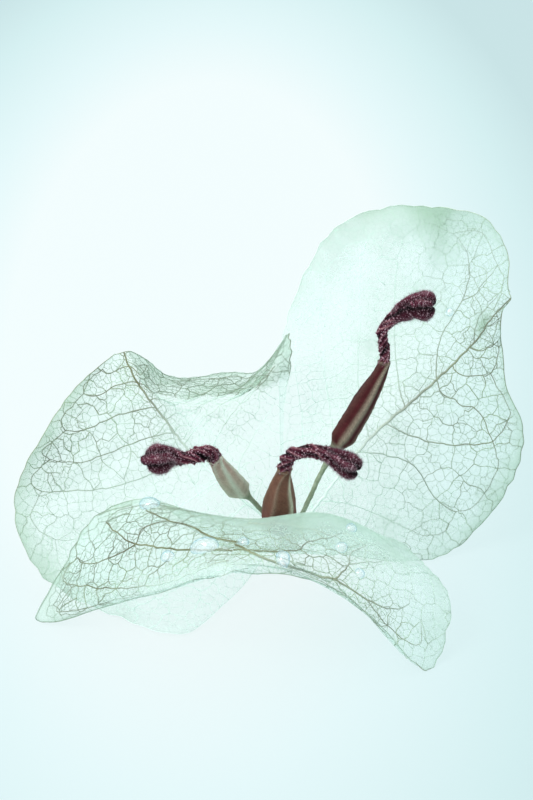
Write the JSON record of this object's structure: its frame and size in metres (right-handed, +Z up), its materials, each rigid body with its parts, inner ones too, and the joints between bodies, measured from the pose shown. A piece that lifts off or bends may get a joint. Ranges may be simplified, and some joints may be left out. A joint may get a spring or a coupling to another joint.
{
  "type": "dried bougainvillea flower",
  "caption": "Dried bougainvillea bloom lying on its bracts: papery, net-veined translucent bracts round withered tubular flowers with twisted necks, dotted with water drops.",
  "frame": {"origin": "middle of the bloom's outline seen from above, on the surface it rests on", "axes": "+Z up, +X to the right and +Y away from the viewer who faces the bloom"},
  "size_m": [0.0596, 0.0474, 0.0383],
  "materials": {
    "bract": "thin translucent dried membrane with raised olive-brown veins",
    "flower": "matte, shrivelled and slightly fuzzy",
    "peduncle": "dry matte stalk",
    "water": "clear water"
  },
  "bodies": {
    "root": {"bract_right": "bract", "bract_left": "bract", "bract_front": "bract", "flower_right": "flower", "flower_left": "flower", "flower_middle": "flower", "peduncle": "peduncle", "drop_1": "water", "drop_2": "water", "drop_3": "water", "drop_4": "water", "drop_5": "water", "drop_6": "water", "drop_7": "water", "drop_8": "water", "drop_9": "water"}
  },
  "joints": []
}
